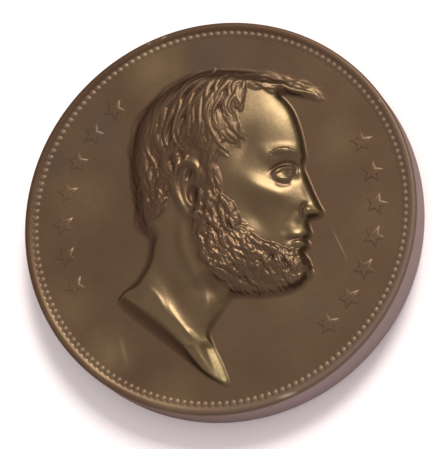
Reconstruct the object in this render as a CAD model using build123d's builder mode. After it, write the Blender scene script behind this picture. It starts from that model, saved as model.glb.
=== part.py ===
from build123d import *
import math
import os
import random

import numpy as np

# A struck bronze medal with a bearded portrait in high relief. Millimetres and degrees.
# The origin is the middle of the foot, +Z is the axis and +Y points to the top of the obverse.

# Flan
diameter = 50.0
rim_thickness = 5.1
rim_width = 1.0
rim_slope = 0.1
rim_fillet = 0.6
obverse_depth = 0.2
reverse_depth = 0.4

# Bead ring inside each rim
bead_radius = 0.28
bead_pitch = 0.893
bead_gap = 0.02
# How far a bead's middle lies under the field
bead_sink = 0.13

# Stars in two arcs beside the head
star_count = 7
star_tips = 5
star_radius = 1.45
star_rise = 0.22
star_gap = 1.95
star_arc = 70.5
star_arc_middle = 0.7
star_waist = 0.42

# Portrait
bust_margin = 1.45
bust_lean = 11.7
relief_height = 2.2
relief_sink = 0.4
facet = 0.5
# Least share of a facet that is left where the outline cuts it
facet_rest = 0.12

radius = diameter / 2
obverse_field = rim_thickness - obverse_depth
rim_inner = radius - rim_width
bead_ring = rim_inner - rim_slope - bead_gap - bead_radius
bead_count = round(2 * math.pi * bead_ring / bead_pitch)
star_ring = bead_ring - bead_radius - star_gap - star_radius

# The head is drawn in head heights: u runs towards the face, v runs up, the chin's foot is
# (0, 0) and the crown of the skull is at v = 1. This is where (0, 0) lies from the middle.
head_place = (0.4145, -0.331)

# Outline, clockwise from the hairline: points of smooth curves
FACE = [
    (-0.115, 0.875), (-0.060, 0.800), (-0.024, 0.700), (-0.008, 0.620), (-0.002, 0.575),
    (-0.013, 0.533), (0.006, 0.480), (0.034, 0.410), (0.060, 0.352), (0.077, 0.322),
    (0.072, 0.300), (0.046, 0.287), (0.012, 0.281), (0.012, 0.255), (0.022, 0.228),
    (0.022, 0.210), (0.002, 0.195), (0.014, 0.180), (0.012, 0.160), (-0.014, 0.138),
]
BEARD = [
    (-0.014, 0.138), (0.000, 0.110), (0.010, 0.065), (0.002, 0.018), (-0.028, -0.022),
    (-0.075, -0.046), (-0.140, -0.060), (-0.220, -0.062), (-0.300, -0.056), (-0.340, -0.052),
]
THROAT = [
    (-0.340, -0.052), (-0.382, -0.105), (-0.422, -0.162), (-0.448, -0.215), (-0.425, -0.275),
    (-0.394, -0.340), (-0.368, -0.405), (-0.352, -0.462),
]
CUT = [
    (-0.352, -0.462), (-0.460, -0.402), (-0.580, -0.306), (-0.700, -0.208), (-0.800, -0.128),
    (-0.862, -0.070), (-0.888, -0.036),
]
NECK_BACK = [
    (-0.888, -0.036), (-0.842, 0.018), (-0.790, 0.080), (-0.752, 0.150), (-0.740, 0.235),
]
BACK_HAIR = [
    (-0.740, 0.235), (-0.786, 0.290), (-0.804, 0.350), (-0.815, 0.430), (-0.830, 0.530),
    (-0.836, 0.620), (-0.824, 0.720), (-0.793, 0.812), (-0.738, 0.890), (-0.655, 0.955),
    (-0.560, 1.002), (-0.450, 1.026), (-0.340, 1.022),
]
FORELOCK_TOP = [
    (-0.340, 1.022), (-0.240, 0.998), (-0.160, 0.972), (-0.080, 0.938), (-0.010, 0.906),
    (0.050, 0.880), (0.096, 0.856), (0.112, 0.832),
]
FORELOCK_UNDER = [(0.112, 0.832), (0.055, 0.838), (-0.010, 0.848), (-0.065, 0.860), (-0.115, 0.875)]
# Where the neck would run on below its cut, so that the cut edge stays high
NECK_BELOW = [(-0.352, -0.520), (-0.352, -0.900), (-1.100, -0.900), (-1.100, -0.150), (-0.935, -0.090)]

# Shares of relief_height at the outline, along the face and behind, and the dome's share over them
wall_share = 0.20
wall_behind = 0.08
dome_share = 0.80
# Fullness where the dome is at its full height, and how much later it gets there behind
dome_reach = 0.20
reach_behind = 0.20
# Where the parts that count as behind begin: left of a line and below one, and their soft edges
behind_left = -0.42
behind_below = 0.10
left_soft = 0.20
below_soft = 0.12
# The neck's cut face: its width along the way from the tip, its top, and the width of its soft edge
CUT_WIDTHS = [
    # share of the way, width
    (0.00, 0.020), (0.22, 0.024), (0.42, 0.044), (0.62, 0.054), (0.85, 0.060), (1.00, 0.056),
]
cut_top = 0.5
cut_soft = 0.04
neck_top = 0.2
# Length over which the forms come up from the outline
form_rise = 0.035

# Soft swellings and hollows: place, half lengths and turn, and rise as a share of relief_height
FORMS = [
    # name, u, v, along, across, turn, rise
    ("forehead", -0.120, 0.745, 0.110, 0.080, 75, 0.04),
    ("temple", -0.270, 0.640, 0.090, 0.055, 70, -0.11),
    ("brow", -0.085, 0.600, 0.075, 0.026, -8, 0.12),
    ("brow_end", -0.165, 0.578, 0.045, 0.028, -40, 0.08),
    ("socket", -0.080, 0.512, 0.062, 0.040, 0, -0.30),
    ("socket_front", -0.028, 0.520, 0.030, 0.040, 0, -0.07),
    ("eyeball", -0.094, 0.497, 0.042, 0.030, 0, 0.22),
    ("cheekbone", -0.215, 0.435, 0.105, 0.050, -28, 0.16),
    ("cheek_front", -0.115, 0.395, 0.055, 0.045, -35, 0.08),
    ("cheek_hollow", -0.215, 0.300, 0.080, 0.055, -50, -0.12),
    ("nose_side", 0.015, 0.385, 0.070, 0.022, 112, -0.04),
    ("nose_wing", 0.014, 0.318, 0.026, 0.022, 0, 0.16),
    ("nose_ball", 0.058, 0.318, 0.022, 0.020, 0, 0.07),
    ("upper_lip", -0.018, 0.214, 0.045, 0.016, 8, 0.08),
    ("lower_lip", -0.018, 0.172, 0.036, 0.015, -6, 0.10),
    ("lip_corner", -0.072, 0.190, 0.016, 0.018, 0, -0.08),
    ("muzzle", -0.060, 0.225, 0.060, 0.070, 0, 0.06),
    ("ear_bed", -0.530, 0.430, 0.075, 0.150, 0, -0.10),
    ("skull", -0.520, 0.760, 0.260, 0.240, 0, 0.21),
    ("nape", -0.730, 0.420, 0.080, 0.160, 0, 0.06),
    ("jaw", -0.330, 0.120, 0.150, 0.110, -40, 0.10),
    ("chin", -0.075, 0.035, 0.080, 0.070, 0, 0.13),
    ("under_jaw", -0.440, -0.010, 0.090, 0.050, -50, -0.16),
    ("neck_valley", -0.605, -0.020, 0.180, 0.055, -60, -0.13),
    ("forelock_thin", 0.000, 0.890, 0.130, 0.060, -25, -0.20),
    ("throat", -0.400, -0.120, 0.080, 0.035, 60, -0.10),
]

# Ridges and creases along curves
LINES = [
    # name, half width, rise, points
    ("cut_lip", 0.0560, 0.10, [
        (-0.790, 0.010), (-0.726, -0.046), (-0.652, -0.112), (-0.575, -0.196), (-0.506, -0.282),
    ]),
    ("throat_edge", 0.0200, 0.16, [
        (-0.486, -0.222), (-0.462, -0.264), (-0.426, -0.333), (-0.400, -0.385), (-0.372, -0.445),
    ]),
    ("neck_muscle", 0.0260, 0.13, [
        (-0.575, 0.330), (-0.560, 0.190), (-0.510, 0.070), (-0.462, -0.005), (-0.450, -0.090),
        (-0.470, -0.200),
    ]),
    ("mouth", 0.009, -0.14, [(0.014, 0.196), (-0.010, 0.193), (-0.036, 0.196), (-0.066, 0.189)]),
    ("ear_rim", 0.015, 0.24, [
        (-0.487, 0.440), (-0.484, 0.500), (-0.500, 0.555), (-0.540, 0.578), (-0.582, 0.556),
        (-0.598, 0.500), (-0.590, 0.440), (-0.568, 0.385), (-0.546, 0.345), (-0.528, 0.312),
    ]),
    ("ear_fold", 0.012, 0.14, [
        (-0.530, 0.545), (-0.556, 0.510), (-0.560, 0.460), (-0.546, 0.405), (-0.522, 0.372),
    ]),
    ("ear_lobe", 0.022, 0.18, [(-0.500, 0.350), (-0.512, 0.318), (-0.520, 0.308)]),
    ("ear_hole", 0.020, -0.24, [(-0.512, 0.465), (-0.518, 0.425), (-0.510, 0.395)]),
]

# Hair: groups of guide curves from root to tip
GUIDES = {
    "nape": [
        [(-0.620, 0.560), (-0.640, 0.490), (-0.640, 0.420), (-0.668, 0.360), (-0.705, 0.320)],
        [(-0.690, 0.560), (-0.700, 0.480), (-0.702, 0.400), (-0.722, 0.330), (-0.735, 0.275)],
        [(-0.760, 0.560), (-0.770, 0.470), (-0.762, 0.390), (-0.768, 0.310), (-0.745, 0.235)],
        [(-0.806, 0.540), (-0.802, 0.450), (-0.788, 0.370), (-0.782, 0.310), (-0.758, 0.250)],
    ],
    "back": [
        [
            (-0.470, 1.015), (-0.570, 0.950), (-0.636, 0.860), (-0.668, 0.760),
            (-0.672, 0.665), (-0.645, 0.560), (-0.640, 0.470),
        ],
        [
            (-0.510, 1.008), (-0.625, 0.945), (-0.700, 0.855), (-0.742, 0.750),
            (-0.746, 0.650), (-0.718, 0.545), (-0.694, 0.440),
        ],
        [
            (-0.550, 0.990), (-0.668, 0.918), (-0.744, 0.822), (-0.782, 0.720),
            (-0.790, 0.615), (-0.772, 0.505), (-0.740, 0.400),
        ],
        [
            (-0.570, 0.985), (-0.700, 0.898), (-0.776, 0.800), (-0.810, 0.695),
            (-0.816, 0.585), (-0.800, 0.475), (-0.772, 0.370),
        ],
    ],
    "temple": [
        [(-0.330, 0.830), (-0.312, 0.775), (-0.290, 0.725), (-0.275, 0.680)],
        [(-0.385, 0.810), (-0.378, 0.750), (-0.350, 0.695), (-0.312, 0.650), (-0.288, 0.620)],
        [(-0.440, 0.790), (-0.440, 0.730), (-0.420, 0.670), (-0.380, 0.615), (-0.350, 0.570)],
        [(-0.500, 0.770), (-0.505, 0.710), (-0.490, 0.650), (-0.455, 0.595), (-0.425, 0.540)],
    ],
    "ear_top": [
        [(-0.440, 0.760), (-0.480, 0.700), (-0.515, 0.655), (-0.548, 0.628), (-0.580, 0.612)],
        [
            (-0.500, 0.770), (-0.545, 0.710), (-0.585, 0.660),
            (-0.615, 0.610), (-0.622, 0.540), (-0.615, 0.470),
        ],
        [
            (-0.560, 0.780), (-0.605, 0.715), (-0.640, 0.650),
            (-0.655, 0.580), (-0.648, 0.500), (-0.632, 0.420),
        ],
    ],
    "side": [
        [(-0.262, 0.955), (-0.276, 0.905), (-0.282, 0.850), (-0.276, 0.795)],
        [(-0.300, 0.985), (-0.332, 0.920), (-0.350, 0.850), (-0.352, 0.785), (-0.335, 0.725)],
        [
            (-0.335, 1.000), (-0.384, 0.925), (-0.414, 0.845),
            (-0.426, 0.765), (-0.412, 0.700), (-0.378, 0.650),
        ],
        [
            (-0.380, 1.012), (-0.440, 0.935), (-0.478, 0.850),
            (-0.496, 0.765), (-0.488, 0.695), (-0.450, 0.635),
        ],
        [
            (-0.425, 1.018), (-0.500, 0.945), (-0.548, 0.860),
            (-0.572, 0.770), (-0.570, 0.690), (-0.535, 0.620),
        ],
        [
            (-0.470, 1.018), (-0.566, 0.950), (-0.626, 0.860),
            (-0.654, 0.765), (-0.656, 0.675), (-0.625, 0.590),
        ],
    ],
    "front": [
        [(-0.266, 0.935), (-0.278, 0.885), (-0.282, 0.840), (-0.274, 0.795)],
        [(-0.306, 0.935), (-0.320, 0.885), (-0.324, 0.835), (-0.316, 0.785)],
    ],
    "sideburn": [
        [
            (-0.360, 0.680), (-0.385, 0.630), (-0.400, 0.580),
            (-0.400, 0.520), (-0.392, 0.460), (-0.378, 0.400),
        ],
        [
            (-0.420, 0.700), (-0.445, 0.640), (-0.462, 0.580),
            (-0.468, 0.520), (-0.462, 0.460), (-0.448, 0.400),
        ],
    ],
    "beard_side": [
        [
            (-0.512, 0.350), (-0.512, 0.250), (-0.482, 0.150),
            (-0.430, 0.060), (-0.365, -0.010), (-0.330, -0.045),
        ],
        [
            (-0.455, 0.420), (-0.440, 0.300), (-0.395, 0.190),
            (-0.335, 0.100), (-0.275, 0.020), (-0.235, -0.055),
        ],
        [
            (-0.395, 0.430), (-0.368, 0.320), (-0.318, 0.225),
            (-0.255, 0.140), (-0.190, 0.050), (-0.145, -0.055),
        ],
        [
            (-0.345, 0.360), (-0.300, 0.285), (-0.245, 0.215),
            (-0.180, 0.140), (-0.115, 0.045), (-0.070, -0.040),
        ],
    ],
    "beard_chin": [
        [(-0.270, 0.230), (-0.215, 0.185), (-0.155, 0.125), (-0.105, 0.045), (-0.065, -0.045)],
        [(-0.170, 0.168), (-0.125, 0.135), (-0.080, 0.085), (-0.045, 0.020), (-0.022, -0.035)],
        [(-0.085, 0.138), (-0.052, 0.112), (-0.024, 0.070), (-0.006, 0.020), (0.002, -0.012)],
        [(-0.030, 0.138), (-0.008, 0.112), (0.008, 0.078), (0.014, 0.042), (0.012, 0.008)],
    ],
    "forelock": [
        [
            (-0.420, 1.022), (-0.310, 1.012), (-0.200, 0.988),
            (-0.090, 0.948), (0.020, 0.902), (0.110, 0.840),
        ],
        [
            (-0.340, 0.990), (-0.240, 0.972), (-0.140, 0.942),
            (-0.050, 0.908), (0.030, 0.872), (0.100, 0.835),
        ],
        [
            (-0.275, 0.925), (-0.200, 0.918), (-0.125, 0.900),
            (-0.050, 0.878), (0.020, 0.855), (0.085, 0.832),
        ],
    ],
}

# How each group is filled with locks; lift is the group's own thickness
LOCKS = [
    # group, rows, across, span, half width, lift, rise, wave, swing
    ("nape", 2, 7, 0.65, 0.030, 0.03, 0.10, 0.012, 8),
    ("back", 3, 8, 0.46, 0.034, 0.04, 0.11, 0.014, 6),
    ("temple", 2, 7, 0.66, 0.026, 0.02, 0.08, 0.006, 8),
    ("ear_top", 2, 6, 0.70, 0.028, 0.05, 0.11, 0.010, 8),
    ("side", 2, 10, 0.76, 0.029, 0.05, 0.13, 0.010, 5),
    ("front", 2, 2, 0.90, 0.020, 0.06, 0.17, 0.004, 3),
    ("sideburn", 3, 4, 0.50, 0.022, 0.02, 0.08, 0.006, 10),
    ("beard_side", 6, 9, 0.27, 0.025, 0.03, 0.13, 0.008, 22),
    ("beard_chin", 4, 8, 0.36, 0.022, 0.03, 0.12, 0.006, 22),
    ("forelock", 2, 5, 0.80, 0.025, 0.03, 0.11, 0.008, 5),
]
lock_seed = 11
step_count = 14
lock_waves = 1.1
root_width = 0.45
tip_width = 0.02


def curve(points, steps=5):
    """A smooth curve through the points, as an array of places along it."""
    knots = np.array(points)
    last = len(knots) - 1
    places = []
    for i in range(last):
        a, b, c, d = (knots[min(max(i + k, 0), last)] for k in (-1, 0, 1, 2))
        for t in np.arange(steps) / steps:
            bend = (2 * a - 5 * b + 4 * c - d) * t**2 + (3 * b - a - 3 * c + d) * t**3
            places.append(0.5 * (2 * b + (c - a) * t + bend))
    places.append(knots[-1])
    return np.array(places)


def even(points, count=41):
    """The same curve at places an equal length apart."""
    path = curve(points, steps=10)
    run = np.concatenate([[0], np.cumsum(np.hypot(*np.diff(path, axis=0).T))])
    wanted = np.linspace(0, run[-1], count)
    return np.column_stack([np.interp(wanted, run, path[:, 0]), np.interp(wanted, run, path[:, 1])])


def joined(*pieces):
    """One closed outline from pieces that start where the last one ends."""
    return np.concatenate([curve(piece)[:-1] for piece in pieces])


def sides(outline):
    return list(zip(outline, np.roll(outline, -1, axis=0)))


def is_inside(u, v, outline):
    found = np.zeros(u.shape, bool)
    for (u1, v1), (u2, v2) in sides(outline):
        if v1 != v2:
            found ^= ((v1 > v) != (v2 > v)) & (u < (u2 - u1) * (v - v1) / (v2 - v1) + u1)
    return found


def along(u, v, path):
    """The nearest place on a path: its share of the length, and the distance."""
    best = np.full(u.shape, np.inf)
    share = np.zeros(u.shape)
    runs = np.hypot(*np.diff(path, axis=0).T)
    start = 0.0
    for (u1, v1), (u2, v2), run in zip(path[:-1], path[1:], runs):
        if run == 0:
            continue
        du, dv = (u2 - u1) / run, (v2 - v1) / run
        s = np.clip((u - u1) * du + (v - v1) * dv, 0, run)
        pu, pv = u - u1 - s * du, v - v1 - s * dv
        gap = np.hypot(pu, pv)
        nearer = gap < best
        best = np.where(nearer, gap, best)
        share = np.where(nearer, (start + s) / runs.sum(), share)
        start += run
    return share, best


def depth_inside(u, v, outline):
    """Distance to the outline, negative outside it."""
    gap = along(u, v, np.vstack([outline, outline[:1]]))[1]
    return np.where(is_inside(u, v, outline), gap, -gap)


def fullness(u, v, outline):
    """Like the distance to the outline near it, but without creases further in."""
    total = np.zeros(u.shape)
    for (u1, v1), (u2, v2) in sides(outline):
        run = math.hypot(u2 - u1, v2 - v1)
        du, dv = (u2 - u1) / run, (v2 - v1) / run
        s = (u - u1) * du + (v - v1) * dv
        h = np.abs((u - u1) * dv - (v - v1) * du) + 1e-5
        total += (np.arctan((run - s) / h) + np.arctan(s / h)) / h
    return math.pi / total


def ease(x):
    x = np.clip(x, 0, 1)
    return x * x * (3 - 2 * x)


def softer_min(a, b, width):
    share = np.clip(0.5 + 0.5 * (b - a) / width, 0, 1)
    return b * (1 - share) + a * share - width * share * (1 - share)


def near(u, v, path, reach):
    low, high = path.min(axis=0) - reach, path.max(axis=0) + reach
    return (u > low[0]) & (u < high[0]) & (v > low[1]) & (v < high[1])


def between(guides, across, place):
    """A place along the guides, a share of the way across them."""
    x = across * (len(guides) - 1)
    i = min(int(x), len(guides) - 2)
    return guides[i][place] + (x - i) * (guides[i + 1][place] - guides[i][place])


def lock_path(guides, across, start, end, wave, phase, bend, swing):
    """A waving path for one lock, between two shares of the guides' length."""
    last = len(guides[0]) - 1
    path = []
    for k in range(step_count + 1):
        share = k / step_count
        place = round((start + (end - start) * share) * last)
        ahead = between(guides, across, min(place + 1, last))
        behind = between(guides, across, max(place - 1, 0))
        du, dv = (ahead - behind) / np.hypot(*(ahead - behind))
        shift = wave * (math.sin(phase + math.tau * lock_waves * share) + bend * share**2)
        here = between(guides, across, place) + shift * np.array([-dv, du])
        turn = math.radians(swing) * share
        root = path[0] if path else here
        out, up = here - root
        c, s = math.cos(turn), math.sin(turn)
        path.append(root + np.array([out * c - up * s, out * s + up * c]))
    return curve(path[::2], steps=4)


def make_locks(table, chance):
    """The locks of a table's groups, each with its path, half width, lift and rise."""
    locks = []
    for group, rows, across, span, width, lift, rise, wave, swing in table:
        guides = [even(guide) for guide in GUIDES[group]]
        for row in reversed(range(rows)):
            for k in range(across):
                place = (k + 0.5 + 0.25 * (row % 2) + chance.uniform(-0.3, 0.3)) / across
                start = row * (1 - span) / (rows - 1) + chance.uniform(-0.08, 0.08)
                start = min(max(start, 0), 1 - 0.9 * span)
                end = min(start + span * chance.uniform(0.85, 1.1), 1)
                phase = chance.uniform(0, 2 * math.pi)
                bend = chance.uniform(-1, 1)
                turned = chance.uniform(-swing, swing)
                path = lock_path(guides, min(place, 1), start, end, wave, phase, bend, turned)
                own_width = width * chance.uniform(0.75, 1.3)
                locks.append((path, own_width, lift, rise * chance.uniform(0.6, 1.25)))
    return locks


def add_locks(u, v, z, locks):
    """Lays tapered ridges over a surface, each as high as it alone would stand."""
    top = z.copy()
    for path, width, lift, rise in locks:
        box = near(u, v, path, width)
        if not box.any():
            continue
        share, gap = along(u[box], v[box], path)
        grown = root_width + 2.2 * share
        thinned = 1.05 * np.clip(1 - share, 0, 1) ** 0.62 + tip_width
        taper = np.clip(np.minimum(grown, thinned), 0, 1)
        inner = np.clip(1 - (gap / (width * taper)) ** 2, 0, 1)
        swell = 0.55 + 0.45 * np.sin(math.pi * np.clip(0.9 * share + 0.1, 0, 1))
        body = lift * ease(3 * share + 0.3) * inner ** 0.4
        top[box] = np.maximum(top[box], z[box] + body + rise * inner ** 0.9 * swell)
    return top


HAIR = (BACK_HAIR, FORELOCK_TOP, FORELOCK_UNDER)
HEAD_OUTLINE = joined(FACE, BEARD, THROAT, CUT, NECK_BACK, *HAIR)
LOCK_LIST = make_locks(LOCKS, random.Random(lock_seed))


def relief(u, v):
    """Height of the portrait above the field, as a share of relief_height."""
    whole_neck = np.vstack([joined(FACE, BEARD, THROAT), NECK_BELOW, joined(NECK_BACK, *HAIR)])
    full = fullness(u, v, whole_neck)
    full = np.where(is_inside(u, v, whole_neck), full, 0)
    behind = np.maximum(ease((behind_left - u) / left_soft), ease((behind_below - v) / below_soft))
    wall = wall_share + (wall_behind - wall_share) * behind
    z = wall + dome_share * np.sqrt(np.clip(full / (dome_reach + reach_behind * behind), 0, 1.6))
    swell = np.zeros(u.shape)
    for name, place_u, place_v, length, breadth, turn, rise in FORMS:
        c, s = math.cos(math.radians(turn)), math.sin(math.radians(turn))
        a = ((u - place_u) * c + (v - place_v) * s) / length
        b = ((v - place_v) * c - (u - place_u) * s) / breadth
        swell += rise * np.exp(-1.2 * (a * a + b * b))
    z += swell * ease(full / form_rise)
    for name, width, rise, points in LINES:
        share, gap = along(u, v, curve(points))
        fade = np.clip(2.2 * np.sin(math.pi * np.clip(share, 0.02, 0.98)), 0, 1)
        z += rise * np.exp(-1.1 * (gap / width) ** 2) * fade
    z = add_locks(u, v, z, LOCK_LIST)
    share, gap = along(u, v, curve(CUT))
    slope = cut_top * gap / np.interp(share, *zip(*CUT_WIDTHS))
    return np.where(v < neck_top, softer_min(z, slope, cut_soft), z)


# The head's height follows from the room inside the beads
reach = max(math.hypot(head_place[0] + u, head_place[1] + v) for u, v in HEAD_OUTLINE)
head_height = (bead_ring - bead_radius - bust_margin) / reach


def on_medal(u, v, z):
    """A place of the head in the medal's own frame."""
    lean = math.radians(bust_lean)
    x = head_height * (head_place[0] + u)
    y = head_height * (head_place[1] + v)
    return (x * math.cos(lean) - y * math.sin(lean), x * math.sin(lean) + y * math.cos(lean), z)


def grid_cells():
    """Square cells over the head, cut along its outline: one list of corners for each cell."""
    step = facet / head_height
    low_u, low_v = HEAD_OUTLINE.min(axis=0) - 2 * step
    high_u, high_v = HEAD_OUTLINE.max(axis=0) + 2 * step
    us, vs = np.arange(low_u, high_u, step), np.arange(low_v, high_v, step)
    grid_u, grid_v = np.meshgrid(us, vs, indexing="ij")
    depth = depth_inside(grid_u, grid_v, HEAD_OUTLINE)
    corners = ((0, 0), (1, 0), (1, 1), (0, 1))
    cells = []
    for i in range(len(us) - 1):
        for j in range(len(vs) - 1):
            inside = [depth[i + a, j + b] > 0 for a, b in corners]
            if not any(inside):
                continue
            cell = []
            for k in range(4):
                a, b = (i + corners[k][0], j + corners[k][1])
                c, d = (i + corners[(k + 1) % 4][0], j + corners[(k + 1) % 4][1])
                if inside[k]:
                    cell.append((us[a], vs[b], False))
                if inside[k] != inside[(k + 1) % 4]:
                    (a, b), (c, d) = sorted(((a, b), (c, d)))
                    share = depth[a, b] / (depth[a, b] - depth[c, d])
                    share = np.clip(share, facet_rest, 1 - facet_rest)
                    cell.append((us[a] + share * (us[c] - us[a]), vs[b] + share * (vs[d] - vs[b]), True))
            cells.append(cell)
    return cells


def relief_solid():
    """The portrait as a closed faceted solid whose foot is sunk into the flan."""
    cells = grid_cells()
    places = sorted({(u, v) for cell in cells for u, v, edge in cell})
    flat = np.array(places)
    heights = dict(zip(places, relief(flat[:, 0], flat[:, 1])))
    bottom = obverse_field - relief_sink

    def top(u, v):
        return on_medal(u, v, obverse_field + relief_height * heights[(u, v)])

    faces = []
    following = {}
    for cell in cells:
        ring = [top(u, v) for u, v, edge in cell]
        for k in range(1, len(ring) - 1):
            faces.append(Face(Wire.make_polygon([ring[0], ring[k], ring[k + 1]])))
        for (u1, v1, edge1), (u2, v2, edge2) in zip(cell, cell[1:] + cell[:1]):
            if edge1 and edge2:
                low = [on_medal(u2, v2, bottom), on_medal(u1, v1, bottom)]
                faces.append(Face(Wire.make_polygon([top(u1, v1), top(u2, v2)] + low)))
                following[(u1, v1)] = (u2, v2)
    start = next(iter(following))
    ring = [start]
    while following[ring[-1]] != start:
        ring.append(following[ring[-1]])
    faces.append(Face(Wire.make_polygon([on_medal(u, v, bottom) for u, v in ring])))
    return Solid(Shell(faces))


def star_points():
    """The corners of a star, with one point up."""
    for k in range(2 * star_tips):
        reach = star_radius if k % 2 == 0 else star_radius * star_waist
        angle = math.radians(90 + 180 / star_tips * k)
        yield (reach * math.cos(angle), reach * math.sin(angle))


# The medal
with BuildPart() as medal:
    with BuildSketch(Plane.XZ) as section:
        with BuildLine():
            Polyline(
                (0, reverse_depth),
                (rim_inner - rim_slope, reverse_depth),
                (rim_inner, 0),
                (radius, 0),
                (radius, rim_thickness),
                (rim_inner, rim_thickness),
                (rim_inner - rim_slope, obverse_field),
                (0, obverse_field),
                close=True,
            )
        make_face()
        fillet(section.vertices().filter_by_position(Axis.X, radius, radius), rim_fillet)
    revolve(axis=Axis.Z)

    for bead_level in (obverse_field - bead_sink, reverse_depth + bead_sink):
        with BuildPart(Plane.XY.offset(bead_level), mode=Mode.PRIVATE) as beads:
            with PolarLocations(bead_ring, bead_count):
                Sphere(bead_radius)
        add(beads.part)

    for middle in (180 - star_arc_middle, star_arc_middle):
        with BuildSketch(Plane.XY.offset(obverse_field)):
            with PolarLocations(star_ring, star_count, middle - star_arc / 2, star_arc, rotate=True):
                Polygon(*star_points(), rotation=-90)
        extrude(amount=star_rise)

    add(relief_solid())

medal.part.label = "medal"
os.makedirs("parts", exist_ok=True)
export_step(medal.part, "parts/medal.step")
print("head height", round(head_height, 3), "beads", bead_count, "faces", len(medal.faces()))
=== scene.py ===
import math
import random
from collections import namedtuple
from functools import reduce

import bmesh
import bpy
import numpy as np
from mathutils import Matrix, Vector
from mathutils.geometry import delaunay_2d_cdt


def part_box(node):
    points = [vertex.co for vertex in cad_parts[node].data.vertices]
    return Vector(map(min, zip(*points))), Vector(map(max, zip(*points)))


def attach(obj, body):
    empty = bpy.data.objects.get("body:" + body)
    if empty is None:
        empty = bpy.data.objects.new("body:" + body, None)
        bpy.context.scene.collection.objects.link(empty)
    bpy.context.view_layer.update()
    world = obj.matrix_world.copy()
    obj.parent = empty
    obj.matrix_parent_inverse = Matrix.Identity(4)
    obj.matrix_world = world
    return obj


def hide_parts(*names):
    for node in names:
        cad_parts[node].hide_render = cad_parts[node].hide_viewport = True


# The looks of a struck bronze medal. The frame is in metres, and the model here in millimetres.
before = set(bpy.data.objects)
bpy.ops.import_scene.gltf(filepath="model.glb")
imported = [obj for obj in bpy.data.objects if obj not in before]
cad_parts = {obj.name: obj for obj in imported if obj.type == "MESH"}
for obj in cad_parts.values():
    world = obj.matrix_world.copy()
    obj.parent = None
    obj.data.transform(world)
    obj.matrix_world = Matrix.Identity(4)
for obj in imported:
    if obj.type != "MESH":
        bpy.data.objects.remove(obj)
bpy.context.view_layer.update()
MM = 0.001
low, high = (np.array(corner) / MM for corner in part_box("medal"))
# Places this near to each other are joined into one
weld_gap = 0.002

# Flan
radius = (high[0] - low[0]) / 2
rim_thickness = 5.1
rim_width = 1.0
rim_slope = 0.1
rim_round = 0.38
rim_round_rows = 8
obverse_field = 4.9
reverse_field = 0.4

# Beads
bead_count = 166
bead_radius = 0.28
bead_gap = 0.02
bead_ring = radius - rim_width - rim_slope - bead_gap - bead_radius
bead_samples = 6
bead_rise = 0.10
bead_reach = 0.42
bead_over_lip = 0.45
bead_wear = 0.10
# A painted sheen on the beads' tops, which also makes them rougher
bead_sheen = 0.50
bead_rows = (-0.64, -0.46, -0.35, -0.24, -0.14, -0.04, 0.06, 0.15, 0.24, 0.33)
# Places round the field's edge, and a third as many round the rim
ring_count = bead_count * bead_samples
rim_count = ring_count // 3

# The rim rises from under the beads' outer halves
lip_start = bead_ring + 0.02
lip_width = 0.80
lip_rows = 5
lip_gap = 0.04
lip_sheen = 0.36
# The rim is palest and least dull at the right, turned clockwise by so many degrees: its paleness is a
# painted reflection of the pale floor, and its dulling is painted shade
rim_wear = 0.05
reflection_least = 0.20
reflection_gain = 0.90
reflection_power = 1.3
reflection_turn = 20
rim_painted_shade = 0.50
rim_shade_turn = 45

# Stars in two arcs
star_count = 7
star_corners = 10
star_radius = 1.45
star_rise = 0.12
star_ring = 19.92
star_arc = 70.5
star_arc_middle = 0.7
star_waist = 0.42

# Tarnish on the field: grey clouds, and lighter olive ones that are partly tarnish and partly a painted sheen
# where the field looks lighter, most at the left and bottom; in millimetres from the middle
TARNISH_AND_SHEEN = [
    # tone, x, y, reach, strength
    ("grey", -3.6, 21.2, 4.2, 0.75),
    ("grey", 1.8, 20.6, 3.2, 0.55),
    ("grey", -15.8, 10.8, 3.2, 0.65),
    ("grey", -21.3, 5.6, 3.0, 0.55),
    ("grey", 15.0, -8.0, 3.6, 0.35),
    ("olive", -10.6, 19.2, 5.0, 1.00),
    ("olive", -16.4, 1.2, 5.2, 0.55),
    ("olive", 13.0, -6.6, 4.6, 0.45),
    ("olive", 15.5, 12.6, 4.2, 0.45),
    ("olive", -8.6, -17.6, 4.2, 1.00),
    ("olive", 0.5, -21.8, 4.2, 0.65),
    ("olive", -15.0, -12.5, 5.0, 0.60),
]
cloud_wobble = 3.0
# Light scratches and rim nicks
SCRATCHES = [
    # x, y, x, y, width, strength
    (14.3, 0.9, 17.6, -3.6, 0.13, 0.36),
    (-9.4, -16.4, -7.4, -20.4, 0.45, 0.20),
    (11.8, -21.4, 14.6, -20.0, 0.30, 0.80),
    (-12.0, 21.4, -11.2, 22.0, 0.16, 0.60),
    (-13.6, 20.5, -13.1, 20.9, 0.14, 0.60),
    (17.2, 17.4, 17.7, 16.9, 0.16, 0.50),
]
STAR_ROWS = [
    # size, rise, paleness (a painted sheen on the edges)
    (1.18, 0.00, 0.00), (1.06, 0.00, 0.08), (1.00, 0.25, 0.20), (0.92, 0.75, 0.22),
    (0.84, 1.00, 0.15), (0.62, 1.00, 0.02), (0.35, 1.00, 0.00),
]

# Portrait, drawn in head heights: u runs towards the face, v runs up, chin 0 and crown 1. The outline,
# forms, lines and guides are given in thousandths of a head height.
head_height = 27.494
head_place = (0.4145, -0.331)
bust_lean = 11.7
relief_height = 2.2
fine_step = 0.12
flat_margin = 0.9
# How far the relief stays under the top of the solid
height_spare = 0.04
# Where the back of the head and the part under the jaw begin: a place, and the run to their full effect
BEHIND_U = (-0.42, -0.20)
UNDER_V = (0.10, -0.12)
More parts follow.
